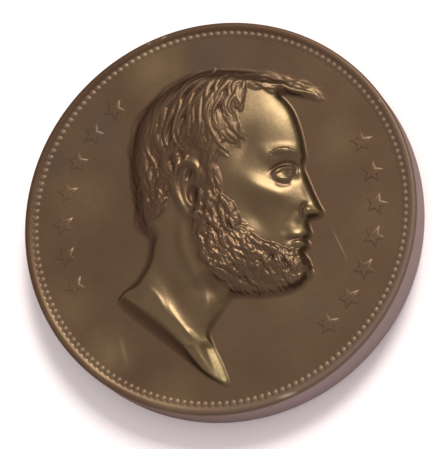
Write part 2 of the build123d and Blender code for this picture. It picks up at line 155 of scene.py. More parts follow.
# Width of the rounding at the outline, in millimetres
edge_front = 0.70
edge_back = 2.20
EDGES = [
    # part, width, is behind, place and run along v
    ("neck", 1.50, True, 0.30, -0.12),
    ("beard", 1.30, False, 0.02, -0.05),
    ("throat", 0.80, False, -0.06, -0.04),
    ("crown", 2.20, False, 0.90, 0.05),
]
edge_forelock = 1.40
FORELOCK_U = (-0.16, 0.08)
FORELOCK_V = (0.84, 0.03)
edge_tip = 0.15
edge_cut = 0.30
# The same for the locks behind and the curls in front
edge_lock = 1.05
edge_curl = 0.80
# How much of the hair's overhang is left off behind
cover_trim = 0.05
hair_overhang = 0.014

# Outline, clockwise from where the forelock meets the forehead
FACE = [
    (-115, 875), (-60, 800), (-24, 700), (-8, 620), (-2, 575), (-13, 533), (6, 480), (34, 410), (60, 352),
    (77, 322), (72, 300), (46, 287), (12, 281), (12, 255), (22, 228), (22, 210), (2, 195), (14, 180),
    (12, 160), (-14, 138),
]
BEARD = [
    (-14, 138), (0, 110), (10, 65), (2, 18), (-28, -22), (-75, -46), (-140, -60), (-220, -62),
    (-300, -56), (-340, -52),
]
THROAT = [
    (-340, -52), (-382, -105), (-422, -162), (-448, -215), (-425, -275), (-394, -340), (-368, -405),
    (-352, -462),
]
CUT = [(-352, -462), (-460, -402), (-580, -306), (-700, -208), (-800, -128), (-862, -70), (-888, -36)]
NECK_BACK = [(-888, -36), (-842, 18), (-790, 80), (-752, 150), (-740, 235)]
BACK_HAIR = [
    (-740, 235), (-786, 290), (-804, 350), (-815, 430), (-830, 530), (-836, 620), (-824, 720),
    (-793, 812), (-738, 890), (-655, 955), (-560, 1002), (-450, 1026), (-340, 1022),
]
FORELOCK_TOP = [(-340, 1022), (-240, 998), (-160, 972), (-80, 938), (-10, 906), (45, 876), (62, 852)]
FORELOCK_UNDER = [(62, 852), (20, 848), (-30, 852), (-75, 862), (-115, 875)]
# Where the neck would run on below its cut, so that the cut edge stays high
NECK_BELOW = [(-352, -520), (-352, -900), (-1100, -900), (-1100, -150), (-935, -90)]

# Shares of relief_height, and how far in from the outline the dome of the bust rises
wall_share = 0.13
dome_share = 0.87
dome_reach = 0.20
back_reach = 0.20
dome_limit = 1.6
# The neck's cut face: its share along the cut from the tip, and its width in head heights
CUT_WIDTHS = ((0.00, 0.014), (0.22, 0.018), (0.42, 0.044), (0.62, 0.054), (0.85, 0.060), (1.00, 0.056))
cut_top = 0.50
cut_power = 1.35
cut_soft = 0.025
# Heights under which the cut has its shape and its painted shade, and where that painted shade and the
# rounding end in its widths
cut_level = 0.2
cut_shade_level = 0.05
CUT_SHADE = (1.15, -0.3)
CUT_EDGE = (2.4, -1.6)
CUT_EDGE_V = (0.10, -0.08)
# The bevel along the front of the neck's tip: its rise at the edge, and the length over which it rises
TIP_FRONT = [(-455, -200), (-425, -275), (-394, -340), (-368, -405), (-346, -462)]
tip_edge = 0.04
tip_run = 0.24
tip_width = 0.030
tip_slope = 0.9
tip_soft = 0.03
# It climbs from its foot upwards, and ends below its top and within its corner
tip_foot = -0.46
tip_climb = 1.7
tip_climb_most = 0.25
tip_climb_run = 0.04
TIP_TOP = (-0.275, 0.10)
tip_corner = (-0.56, -0.12)
FRONT_GAP = (0.07, -0.05)
FRONT_V = (-0.17, -0.10)
# How forms, domes and lines fall off
form_fall = 1.2
form_inset = 0.035
dome_power = 0.8
line_fall = 1.1
line_reach = 4
line_fade = 2.2
line_end = 0.02

FORMS = [
    # name, u, v, along, across, turn, rise
    ("forehead", -120, 745, 110, 80, 75, 0.04),
    ("temple", -270, 640, 90, 55, 70, -0.11),
    ("brow", -85, 600, 75, 26, -8, 0.12),
    ("brow_end", -165, 578, 45, 28, -40, 0.08),
    ("socket", -80, 512, 62, 40, 0, -0.30),
    ("socket_front", -28, 520, 30, 40, 0, -0.07),
    ("cheekbone", -215, 435, 105, 50, -28, 0.16),
    ("cheek_front", -115, 395, 55, 45, -35, 0.08),
    ("cheek_hollow", -215, 300, 80, 55, -50, -0.12),
    ("nose_side", 15, 385, 70, 22, 112, -0.04),
    ("nose_wing", 14, 318, 26, 22, 0, 0.16),
    ("nose_ball", 58, 318, 22, 20, 0, 0.07),
    ("under_nose", -20, 265, 40, 22, 0, -0.04),
    ("upper_lip", -18, 214, 45, 16, 8, 0.08),
    ("lower_lip", -18, 172, 36, 15, -6, 0.10),
    ("lip_corner", -72, 190, 16, 18, 0, -0.08),
    ("chin_fold", -20, 135, 40, 14, -5, -0.06),
    ("muzzle", -60, 225, 60, 70, 0, 0.06),
    ("ear_bed", -530, 430, 75, 150, 0, -0.10),
    ("skull", -520, 760, 260, 240, 0, 0.21),
    ("nape", -730, 420, 80, 160, 0, 0.06),
    ("jaw", -330, 120, 150, 110, -40, 0.10),
    ("chin", -75, 35, 80, 70, 0, 0.13),
    ("under_jaw", -440, -10, 90, 50, -50, -0.16),
    ("neck_valley", -605, -20, 180, 55, -60, -0.13),
    ("forelock_thin", -10, 895, 150, 70, -25, -0.34),
    ("throat", -400, -120, 80, 35, 60, -0.10),
    ("tip", -420, -350, 110, 35, -60, -0.20),
]

# Crisper domes and dishes
DOMES = [
    # name, u, v, along, across, turn, rise
    ("eyeball", -96, 496, 45, 34, 0, 0.25),
    ("ear_hole", -516, 425, 26, 48, 0, -0.14),
    ("ear_dish", -536, 520, 16, 28, -20, -0.12),
]

# Where the ear is browner than the skin: place, half lengths and turn
EAR_SHADE = (-540, 445, 75, 150, 0)
# Patches of hair painted lighter, as painted light, by lessening their soil, which also makes them less rough
HAIR_PAINTED_LIGHTS = [
    # u, v, half length, half breadth, turn
    (-380, 810, 150, 130, 30),
    (-30, 905, 130, 60, -25),
]

# Ridges and creases along curves
LINES = [
    # name, half width, rise, points
    ("cut_lip", 58, 0.040, [(-790, 10), (-726, -46), (-652, -112), (-575, -196), (-478, -318)]),
    ("cut_ridge_a", 11, 0.026, [(-745, 30), (-690, -20), (-640, -95), (-600, -150)]),
    ("cut_ridge_b", 10.5, 0.030, [(-640, -60), (-590, -140), (-540, -205), (-500, -270)]),
    ("cut_ridge_c", 11, 0.034, [(-550, -190), (-500, -235), (-462, -275)]),
    ("neck_muscle", 26, 0.075, [(-575, 330), (-560, 190), (-510, 70), (-462, -5), (-450, -90), (-470, -200)]),
    ("upper_lid", 11, 0.16, [(-152, 484), (-128, 507), (-100, 522), (-70, 524), (-48, 510)]),
    ("lid_fold", 8, -0.10, [(-160, 504), (-130, 531), (-98, 546), (-62, 544), (-40, 524)]),
    ("lower_lid", 9.5, 0.10, [(-146, 481), (-112, 468), (-84, 464), (-64, 472)]),
    ("lid_bag", 12, -0.04, [(-135, 456), (-100, 442), (-66, 448)]),
    ("iris", 4.5, -0.04, [(-64, 512), (-77, 505), (-80, 494), (-72, 480)]),
    ("wing_crease", 8.5, -0.13, [(10, 352), (-12, 345), (-23, 322), (-16, 296), (2, 284)]),
    ("nostril", 7.5, -0.14, [(20, 294), (38, 297), (50, 303)]),
    ("mouth", 7, -0.15, [(14, 196), (-10, 193), (-36, 196), (-66, 189)]),
    ("cheek_fold", 20, -0.035, [(-34, 345), (-62, 300), (-88, 250), (-96, 205)]),
    ("ear_rim", 17.5, 0.17, [
        (-487, 440), (-484, 500), (-500, 555), (-540, 578), (-582, 556),
        (-598, 500), (-590, 440), (-568, 385), (-546, 345), (-528, 312),
    ]),
    ("ear_fold", 15, 0.10, [(-530, 545), (-556, 510), (-560, 460), (-546, 405), (-522, 372), (-500, 372)]),
    ("tragus", 14, 0.10, [(-487, 445), (-480, 415), (-486, 388)]),
    ("ear_lobe", 22, 0.15, [(-500, 350), (-512, 318), (-520, 308)]),
]

# Hair: groups of guide curves from root to tip
GUIDES = {
    "nape": [
        [(-620, 560), (-640, 490), (-640, 420), (-668, 360), (-705, 320)],
        [(-690, 560), (-700, 480), (-702, 400), (-722, 330), (-735, 275)],
        [(-760, 560), (-770, 470), (-762, 390), (-768, 310), (-745, 235)],
        [(-806, 540), (-802, 450), (-788, 370), (-782, 310), (-758, 250)],
    ],
    "back": [
        [(-470, 1015), (-570, 950), (-636, 860), (-668, 760), (-672, 665), (-645, 560), (-640, 470)],
        [(-510, 1008), (-625, 945), (-700, 855), (-742, 750), (-746, 650), (-718, 545), (-694, 440)],
        [(-550, 990), (-668, 918), (-744, 822), (-782, 720), (-790, 615), (-772, 505), (-740, 400)],
        [(-570, 985), (-700, 898), (-776, 800), (-810, 695), (-816, 585), (-800, 475), (-772, 370)],
    ],
    "temple": [
        [(-330, 830), (-312, 775), (-290, 725), (-275, 680)],
        [(-385, 810), (-378, 750), (-350, 695), (-312, 650), (-288, 620)],
        [(-440, 790), (-440, 730), (-420, 670), (-380, 615), (-350, 570)],
        [(-500, 770), (-505, 710), (-490, 650), (-455, 595), (-425, 540)],
    ],
    "ear_top": [
        [(-440, 760), (-480, 700), (-515, 655), (-548, 628), (-580, 612)],
        [(-500, 770), (-545, 710), (-585, 660), (-615, 610), (-622, 540), (-615, 470)],
        [(-560, 780), (-605, 715), (-640, 650), (-655, 580), (-648, 500), (-632, 420)],
    ],
    "side": [
        [(-262, 955), (-276, 905), (-282, 850), (-276, 795)],
        [(-300, 985), (-332, 920), (-350, 850), (-352, 785), (-335, 725)],
        [(-335, 1000), (-384, 925), (-414, 845), (-426, 765), (-412, 700), (-378, 650)],
        [(-380, 1012), (-440, 935), (-478, 850), (-496, 765), (-488, 695), (-450, 635)],
        [(-425, 1018), (-500, 945), (-548, 860), (-572, 770), (-570, 690), (-535, 620)],
        [(-470, 1018), (-566, 950), (-626, 860), (-654, 765), (-656, 675), (-625, 590)],
    ],
    "front": [
        [(-266, 935), (-278, 885), (-282, 840), (-274, 795)],
        [(-306, 935), (-320, 885), (-324, 835), (-316, 785)],
    ],
    "sideburn": [
        [(-360, 680), (-385, 630), (-400, 580), (-400, 520), (-392, 460), (-378, 400)],
        [(-420, 700), (-445, 640), (-462, 580), (-468, 520), (-462, 460), (-448, 400)],
    ],
    "beard_side": [
        [(-512, 350), (-512, 250), (-482, 150), (-430, 60), (-365, -10), (-330, -45)],
        [(-455, 420), (-440, 300), (-395, 190), (-335, 100), (-275, 20), (-235, -55)],
        [(-395, 430), (-368, 320), (-318, 225), (-255, 140), (-190, 50), (-145, -55)],
        [(-345, 360), (-300, 285), (-245, 215), (-180, 140), (-115, 45), (-70, -40)],
    ],
    "beard_chin": [
        [(-270, 230), (-215, 185), (-155, 125), (-105, 45), (-65, -45)],
        [(-170, 168), (-125, 135), (-80, 85), (-45, 20), (-22, -35)],
        [(-85, 138), (-52, 112), (-24, 70), (-6, 20), (2, -12)],
        [(-30, 138), (-8, 112), (8, 78), (14, 42), (12, 8)],
    ],
    "eyebrow": [
        [(-30, 578), (-75, 590), (-120, 590), (-165, 572)],
        [(-30, 592), (-75, 606), (-125, 606), (-172, 586)],
    ],
    "forelock": [
        [(-420, 1000), (-310, 996), (-200, 974), (-90, 940), (20, 898), (108, 840)],
        [(-340, 985), (-240, 966), (-140, 937), (-50, 904), (30, 870), (100, 836)],
        [(-275, 925), (-200, 918), (-125, 900), (-50, 878), (20, 855), (88, 832)],
    ],
}

# How each group is filled: locks first, and finer strands over them; lift is the group's own thickness
LOCKS = [
    # group, rows, across, span, half width, lift, rise, wave, swing
    ("nape", 3, 8, 0.50, 0.024, 0.02, 0.085, 0.012, 8),
    ("back", 3, 11, 0.46, 0.026, 0.02, 0.065, 0.014, 6),
    ("temple", 2, 7, 0.66, 0.030, 0.01, 0.085, 0.006, 8),
    ("ear_top", 2, 6, 0.70, 0.024, 0.03, 0.080, 0.010, 8),
    ("side", 2, 12, 0.68, 0.023, 0.035, 0.115, 0.010, 7),
    ("front", 2, 2, 0.90, 0.026, 0.03, 0.11, 0.004, 3),
    ("sideburn", 3, 4, 0.50, 0.022, 0.02, 0.06, 0.006, 10),
    ("beard_side", 6, 8, 0.25, 0.025, 0.03, 0.085, 0.008, 22),
    ("beard_chin", 4, 7, 0.32, 0.023, 0.03, 0.140, 0.006, 22),
    ("forelock", 3, 9, 0.50, 0.020, 0.02, 0.085, 0.016, 5),
]
STRANDS = [
    # group, rows, across, span, half width, lift, rise, wave, swing
    ("nape", 4, 14, 0.40, 0.011, 0, 0.032, 0.008, 16),
    ("back", 5, 20, 0.32, 0.0115, 0, 0.026, 0.008, 12),
    ("temple", 4, 16, 0.42, 0.010, 0, 0.015, 0.005, 16),
    ("ear_top", 4, 14, 0.42, 0.011, 0, 0.028, 0.008, 14),
    ("side", 3, 24, 0.56, 0.0115, 0, 0.024, 0.006, 12),
    ("sideburn", 5, 8, 0.30, 0.011, 0, 0.03, 0.005, 14),
    ("beard_side", 12, 19, 0.13, 0.0092, 0, 0.045, 0.005, 34),
    ("beard_chin", 8, 15, 0.20, 0.0095, 0, 0.055, 0.005, 34),
    ("eyebrow", 5, 4, 0.30, 0.006, 0, 0.05, 0.002, 8),
    ("forelock", 4, 14, 0.42, 0.011, 0, 0.028, 0.006, 6),
]
lock_seed = 11
# How the locks of a group differ by chance, in shares of its guides, its locks' width and their rise
row_shift = 0.25
place_chance = (-0.3, 0.3)
start_chance = (-0.08, 0.08)
start_spare = 0.9
span_chance = (0.85, 1.1)
width_chance = (0.75, 1.3)
rise_chance = (0.55, 1.3)
# Shape of a lock from its root, 0, to its tip, 1
guide_places = 41
lock_steps = 14
lock_waves = 2.2
root_width = 0.45
root_widen = 2.2
point_width = 1.05
point_power = 0.62
point_end = 0.02
swell_least = 0.55
swell_start = 0.1
body_start = 0.3
body_grow = 3
body_thin = 0.8
BODY_END = (0.4, 0.6)
body_power = 0.6
rise_power = 0.9

# Blurs of the height and of the depth, each in places of the fine grid on either side
height_blur = 1
depth_blur = 2

# Finish of the portrait: wear, soil and paleness, from how far a place stands out from its surroundings; on
# top, a painted highlight on the front of the neck's tip, painted shade on the cut face and at the back of
# the head, painted light on patches of hair, and a painted sheen on the hair's crests
fine_blur = 3
broad_blur = 9
thin_edge = 0.01
skin_wear = 0.28
crest_wear = 2.0
hair_crest_loss = 1.2
broad_wear = 0.4
# A painted highlight along the front of the neck's tip, in the rubbed tone
front_painted_highlight = 0.45
hair_wear_loss = 0.6
ear_wear_loss = 0.6
hair_soil = 0.42
hollow_soil = 2.6
broad_soil = 0.4
edge_soil = 0.35
edge_soil_run = 0.045
margin_soil = 0.18
neck_level = -0.07
neck_soil = 0.6
beard_loss = 0.80
BEARD_V = (0.36, -0.10)
BEARD_U = (-0.56, 0.06)
# How much of its soil the hair loses in the patches of painted light
hair_light_paint = 0.55
ear_soil = 0.14
# Painted shade just inside the outline at the back of the head: its strength, and the depth and run where it
# ends
back_painted_shade = 0.14
BACK_SHADE_END = (0.02, 0.13)
# Painted shade on the neck's cut face, which faces away from the key light: its strength, and its run in from
# the outline
cut_painted_shade = 0.55
cut_painted_shade_run = 0.030
# A painted sheen on the hair's crests: its strength, its most, and its run in from the outline
crest_sheen = 1.2
crest_sheen_most = 0.08
crest_sheen_run = 0.02


def drawn(points):
    return np.array(points) / 1000


def curve(knots, steps=5):
    """A smooth curve through the knots, as an array of places along it."""
    last = len(knots) - 1
    places = []
    for i in range(last):
        a, b, c, d = (knots[min(max(i + k, 0), last)] for k in (-1, 0, 1, 2))
        for t in np.arange(steps) / steps:
            bend = (2 * a - 5 * b + 4 * c - d) * t**2 + (3 * b - a - 3 * c + d) * t**3
            places.append(0.5 * (2 * b + (c - a) * t + bend))
    return np.array(places + [knots[-1]])


def even(points):
    """A smooth curve, at places an equal length apart."""
    path = curve(drawn(points), steps=10)
    run = np.concatenate([[0], np.cumsum(np.hypot(*np.diff(path, axis=0).T))])
    wanted = np.linspace(0, run[-1], guide_places)
    return np.column_stack([np.interp(wanted, run, path[:, 0]), np.interp(wanted, run, path[:, 1])])


def rotated(x, y, degrees):
    c, s = math.cos(math.radians(degrees)), math.sin(math.radians(degrees))
    return x * c - y * s, x * s + y * c


def joined(*pieces):
    """One closed outline from pieces that start where the last one ends."""
    return np.concatenate([curve(drawn(piece))[:-1] for piece in pieces])


def sides(outline):
    return list(zip(outline, np.roll(outline, -1, axis=0)))


def is_inside(u, v, outline):
    found = np.zeros(u.shape, bool)
    for (u1, v1), (u2, v2) in sides(outline):
        if v1 != v2:
            found ^= ((v1 > v) != (v2 > v)) & (u < (u2 - u1) * (v - v1) / (v2 - v1) + u1)
    return found


def along(u, v, path):
    """The nearest place on a path: its share of the length, and the distance."""
    best = np.full(u.shape, np.inf)
    share = np.zeros(u.shape)
    runs = np.hypot(*np.diff(path, axis=0).T)
    start = 0.0
    for (u1, v1), (u2, v2), run in zip(path[:-1], path[1:], runs):
        if run == 0:
            continue
        du, dv = (u2 - u1) / run, (v2 - v1) / run
        s = np.clip((u - u1) * du + (v - v1) * dv, 0, run)
        pu, pv = u - u1 - s * du, v - v1 - s * dv
        gap = np.hypot(pu, pv)
        nearer = gap < best
        best = np.where(nearer, gap, best)
        share = np.where(nearer, (start + s) / runs.sum(), share)
        start += run
    return share, best


def depth_inside(u, v, outline):
    """Distance to the outline, negative outside it."""
    gap = along(u, v, np.vstack([outline, outline[:1]]))[1]
    return np.where(is_inside(u, v, outline), gap, -gap)


def fullness(u, v, outline):
    """Like the distance to the outline near it, but without creases further in."""
    total = np.zeros(u.shape)
    for (u1, v1), (u2, v2) in sides(outline):
        run = math.hypot(u2 - u1, v2 - v1)
        du, dv = (u2 - u1) / run, (v2 - v1) / run
        s = (u - u1) * du + (v - v1) * dv
        h = np.abs((u - u1) * dv - (v - v1) * du) + 1e-5
        total += (np.arctan((run - s) / h) + np.arctan(s / h)) / h
    return math.pi / total


def ease(x):
    x = np.clip(x, 0, 1)
    return x * x * (3 - 2 * x)


def beyond(x, start, run):
    """0 up to a start and 1 from a run past it, with a soft step between; a negative run goes back."""
    return ease((x - start) / run)


def softer_min(a, b, width):
    share = np.clip(0.5 + 0.5 * (b - a) / width, 0, 1)
    return b * (1 - share) + a * share - width * share * (1 - share)


def near(u, v, path, reach):
    lowest, highest = path.min(axis=0) - reach, path.max(axis=0) + reach
    return (u > lowest[0]) & (u < highest[0]) & (v > lowest[1]) & (v < highest[1])


def between(guides, across, place):
    """A place along the guides, a share of the way across them."""
    x = across * (len(guides) - 1)
    i = min(int(x), len(guides) - 2)
    return guides[i][place] + (x - i) * (guides[i + 1][place] - guides[i][place])


def lock_path(guides, across, start, end, wave, phase, bend, swing):
    """A waving path for one lock, between two shares of the guides' length."""
    last = len(guides[0]) - 1
    path = []
    for k in range(lock_steps + 1):
        share = k / lock_steps
        place = round((start + (end - start) * share) * last)
        ahead = between(guides, across, min(place + 1, last))
        behind = between(guides, across, max(place - 1, 0))
        du, dv = (ahead - behind) / np.hypot(*(ahead - behind))
        shift = wave * math.sin(phase + lock_waves * math.pi * share) + wave * bend * share**2
        here = between(guides, across, place) + shift * np.array([-dv, du])
        root = path[0] if path else here
        path.append(root + rotated(*(here - root), swing * share))
    return curve(path[::2], steps=4)


def make_locks(table):
    """The locks of a table's groups, each with its path, half width, lift and rise."""
    locks = []
    for group, rows, across, span, width, lift, rise, wave, swing in table:
        guides = [even(guide) for guide in GUIDES[group]]
        chance = random.Random(f"{group} {rows} {lock_seed}")
        for row in reversed(range(rows)):
            for k in range(across):
                place = (k + 0.5 + row_shift * (row % 2) + chance.uniform(*place_chance)) / across
                start = row * (1 - span) / (rows - 1) + chance.uniform(*start_chance)
                start = min(max(start, 0), 1 - start_spare * span)
                end = min(start + span * chance.uniform(*span_chance), 1)
                phase = chance.uniform(0, 2 * math.pi)
                bend = chance.uniform(-1, 1)
                turned = chance.uniform(-swing, swing)
                path = lock_path(guides, min(place, 1), start, end, wave, phase, bend, turned)
                wide = width * chance.uniform(*width_chance)
                locks.append((path, wide, lift, rise * chance.uniform(*rise_chance)))
    return locks


def add_locks(u, v, z, locks):
    """Lays tapered ridges over a surface; also gives how far inside a lock each place lies."""
    top = z.copy()
    cover = np.full(u.shape, -1.0)
    for path, width, lift, rise in locks:
        box = near(u, v, path, width)
        if not box.any():
            continue
        share, gap = along(u[box], v[box], path)
        point = point_width * np.clip(1 - share, 0, 1) ** point_power + point_end
        taper = np.clip(np.minimum(root_width + root_widen * share, point), 0, 1)
        inner = np.clip(1 - (gap / (width * taper)) ** 2, 0, 1)
        swell = np.sin(math.pi * np.clip((1 - swell_start) * share + swell_start, 0, 1))
        swell = swell_least + (1 - swell_least) * swell
        body = lift * ease(body_grow * share + body_start) * (1 - body_thin * beyond(share, *BODY_END))
        body *= inner ** body_power
        top[box] = np.maximum(top[box], z[box] + body + rise * inner ** rise_power * swell)
        cover[box] = np.maximum(cover[box], width * taper - gap)
    return top, cover


HAIR = (BACK_HAIR, FORELOCK_TOP, FORELOCK_UNDER)
HEAD_OUTLINE = joined(FACE, BEARD, THROAT, CUT, NECK_BACK, *HAIR)
# The same outline with the neck run on, which gives the bust its fullness
FULL_OUTLINE = np.vstack([joined(FACE, BEARD, THROAT), drawn(NECK_BELOW), joined(NECK_BACK, *HAIR)])
COATS = [make_locks(table) for table in (LOCKS, STRANDS)]


def place_on(u, v, *form):
    """Places in a turned frame whose unit lengths are the form's half lengths, squared and added."""
    place_u, place_v, length, breadth = drawn(form[:4])
    a, b = rotated(u - place_u, v - place_v, -form[4])
    return (a / length) ** 2 + (b / breadth) ** 2


def add_forms(z, u, v, full):
    """Adds the soft forms, the crisper domes and the lines to the bust's height."""
    swell = np.zeros(u.shape)
    for name, *place, rise in FORMS:
        swell += rise * np.exp(-form_fall * place_on(u, v, *place))
    z += swell * beyond(full, 0, form_inset)
    for name, *place, rise in DOMES:
        z += rise * np.clip(1 - place_on(u, v, *place), 0, 1) ** dome_power
    for name, width, rise, points in LINES:
        width /= 1000
        path = curve(drawn(points))
        box = near(u, v, path, line_reach * width)
        share, gap = along(u[box], v[box], path)
        fade = np.clip(line_fade * np.sin(math.pi * np.clip(share, line_end, 1 - line_end)), 0, 1)
        z[box] += rise * np.exp(-line_fall * (gap / width) ** 2) * fade


def tip_bevel(u, v, z):
    """The bust with the bevel on its neck's tip, and how far each place lies on that bevel."""
    share, gap = along(u, v, curve(drawn(TIP_FRONT)))
    bevel = tip_edge + np.minimum(gap, tip_width) / tip_run + tip_slope * np.clip(gap - tip_width, 0, 1)
    bevel += tip_climb * np.clip(v - tip_foot, 0, tip_climb_most) * beyond(gap, tip_width, tip_climb_run)
    bevel += beyond(v, *TIP_TOP)
    on_tip = (u > tip_corner[0]) & (v < tip_corner[1])
    return np.where(on_tip, softer_min(z, bevel, tip_soft), z), beyond(gap, *FRONT_GAP) * beyond(v, *FRONT_V)


def edge_widths(u, v, behind, front, across):
    """The width of the rounding at the outline, in millimetres."""
    edge = edge_front + (edge_back - edge_front) * behind
    for part, width, is_behind, start, run in EDGES:
        edge += (width - edge) * (behind if is_behind else 1 - behind) * beyond(v, start, run)
    edge += (edge_forelock - edge) * beyond(u, *FORELOCK_U) * beyond(v, *FORELOCK_V)
    edge += (edge_tip - edge) * front
    edge += (edge_cut - edge) * beyond(across, *CUT_EDGE) * beyond(v, *CUT_EDGE_V)
    return edge


Relief = namedtuple("Relief", "skin hair depth cover behind back edge front cut")


def relief(u, v):
    """The portrait in shares of relief_height: its skin, and the hair's height over the skin. Also the depth
    inside the outline and inside the hair, how far back a place lies, the width of the rounding at the
    outline, and how far it lies on the front of the neck's tip and on its cut face."""
    full = np.where(is_inside(u, v, FULL_OUTLINE), fullness(u, v, FULL_OUTLINE), 0)
    behind = beyond(u, *BEHIND_U)
    back = np.maximum(behind, beyond(v, *UNDER_V))
    z = wall_share + dome_share * np.sqrt(np.clip(full / (dome_reach + back_reach * back), 0, dome_limit))
    add_forms(z, u, v, full)
    share, gap = along(u, v, curve(drawn(CUT)))
    across = gap / np.interp(share, *zip(*CUT_WIDTHS))
    z = np.where(v < cut_level, softer_min(z, cut_top * across ** cut_power, cut_soft), z)
    cut = beyond(across, *CUT_SHADE) * (v < cut_shade_level)
    z, front = tip_bevel(u, v, z)
    hair = z
    cover = np.full(u.shape, -1.0)
    for locks in COATS:
        hair, coat = add_locks(u, v, hair, locks)
        cover = np.maximum(cover, coat)
    edge = edge_widths(u, v, behind, front, across)
    depth = depth_inside(u, v, HEAD_OUTLINE)
    return Relief(z, hair - z, depth, cover, behind, back, edge, front, cut)


def on_medal(u, v):
    """A place of the head in the medal's own frame."""
    return rotated(head_height * (head_place[0] + u), head_height * (head_place[1] + v), bust_lean)


def blurred(field, count):
    """A box blur over so many places on either side."""
    window = 2 * count + 1
    for axis in (0, 1):
        spare = [(count + 1, count) if k == axis else (0, 0) for k in (0, 1)]
        padded = np.pad(field, spare, mode="edge")
        total = np.cumsum(padded, axis)
        starts = np.arange(field.shape[axis])
        field = (np.take(total, starts + window, axis) - np.take(total, starts, axis)) / window
    return field


def placed(name, data):
    """A new object in the scene."""
    made = bpy.data.objects.new(name, data)
    bpy.context.scene.collection.objects.link(made)
    return made


class Surface:
    """Collects the parts of one closed surface: places, faces and three values for the finish."""

    def __init__(self):
        self.places = []
        self.faces = []
        self.values = {"wear": [], "soil": [], "pale": []}
        self.count = 0

    def add(self, places, faces, **finish):
        places = np.asarray(places, float)
        self.places.append(places)
        self.faces += [tuple(self.count + i for i in face) for face in faces]
        for title, values in self.values.items():
            values.append(np.broadcast_to(finish.get(title, 0.0), len(places)))
        self.count += len(places)

    def object(self, name):
        mesh = bpy.data.meshes.new(name)
        mesh.from_pydata(np.concatenate(self.places) * MM, [], self.faces)
        for title, values in self.values.items():
            layer = mesh.attributes.new(title, "FLOAT", "POINT")
            layer.data.foreach_set("value", np.concatenate(values).astype(np.float32))
        cleaned = bmesh.new()
        cleaned.from_mesh(mesh)
        bmesh.ops.remove_doubles(cleaned, verts=cleaned.verts, dist=weld_gap * MM)
        bmesh.ops.recalc_face_normals(cleaned, faces=cleaned.faces)
        cleaned.to_mesh(mesh)
        cleaned.free()
        mesh.shade_smooth()
        return placed(name, mesh)


def portrait_height(form):
    """The portrait's height over the field in millimetres, how deep a place lies in it, and the same depth
    with all of the hair's overhang."""
    reach = np.maximum(form.depth, form.cover)
    depth = blurred(np.maximum(form.depth, form.cover - cover_trim * form.back), depth_blur)
    skin = form.skin * ease(depth * head_height / form.edge)
    hair_edge = edge_lock + (np.minimum(form.edge, edge_curl) - edge_lock) * (1 - form.behind)
    overhang = np.maximum(ease(1 + form.depth / hair_overhang), 1 - form.back)
    hair_share = ease(blurred(reach, height_blur) * head_height / hair_edge) * overhang
    height = relief_height * (blurred(skin, height_blur) + form.hair * hair_share)
    return softer_min(height, high[2] - obverse_field - height_spare, height_spare), depth, reach


def portrait_finish(u, v, form, height, depth):
    """The portrait's wear with a painted highlight, soil with painted shade and painted light, and a painted
    sheen, by name.
    """
    margin = flat_margin / head_height
    hollow = height - blurred(blurred(height, fine_blur), fine_blur)
    broad = height - blurred(blurred(height, broad_blur), broad_blur)
    hair = ease(form.cover / thin_edge)
    ear = np.exp(-place_on(u, v, *EAR_SHADE))
    inside = ease(depth / thin_edge)
    soil = np.clip(hair_soil * hair - hollow_soil * hollow - broad_soil * broad, 0, 1)
    soil *= np.where(depth > 0, edge_soil + (1 - edge_soil) * ease(depth / edge_soil_run),
                     margin_soil * ease((depth + margin) / margin))
    soil *= np.where(v < neck_level, neck_soil, 1)
    soil *= 1 - beard_loss * hair * beyond(v, *BEARD_V) * beyond(u, *BEARD_U)
    # Painted light: patches of the hair are made lighter
    for light in HAIR_PAINTED_LIGHTS:
        soil *= 1 - hair_light_paint * hair * np.exp(-place_on(u, v, *light))
    soil = np.clip(soil + ear_soil * ear * (1 - hair), 0, 1)
    # Painted shade along the outline at the back of the head
    soil = np.clip(soil + back_painted_shade * form.behind * inside * (1 - beyond(depth, *BACK_SHADE_END)), 0, 1)
    # Painted shade: the neck's cut face is darkened
    soil = np.maximum(soil, cut_painted_shade * form.cut * ease(depth / cut_painted_shade_run))
    wear = skin_wear * (1 - hair) + (crest_wear - hair_crest_loss * hair) * hollow + broad_wear * broad
    wear = np.clip(wear, 0, 1) * inside * (1 - ear_wear_loss * ear) * (1 - hair_wear_loss * hair)
    # Painted highlight on the front of the neck's tip
    wear = np.clip(wear + front_painted_highlight * form.front * inside, 0, 1)
    # Painted sheen on the hair's crests
    pale = hair * np.clip(crest_sheen * hollow, 0, crest_sheen_most) * ease(depth / crest_sheen_run)
    return {"wear": wear, "soil": soil, "pale": pale}


def any_corner(field):
    """Whether any of the four neighbours that make a square is set."""
    return field[:-1, :-1] | field[1:, :-1] | field[1:, 1:] | field[:-1, 1:]


def square_faces(cell, number, height):
    """Two triangles for each square, split along the diagonal whose ends differ least in height."""
    i, j = np.nonzero(cell)
    corners = [(i, j), (i + 1, j), (i + 1, j + 1), (i, j + 1)]
    tall = [height[corner] for corner in corners]
    straight = np.abs(tall[0] - tall[2]) <= np.abs(tall[1] - tall[3])
    faces = []
    for a, b, c, d, first in zip(*(number[corner] for corner in corners), straight):
        faces += [(a, b, c), (a, c, d)] if first else [(a, b, d), (b, c, d)]
    return faces


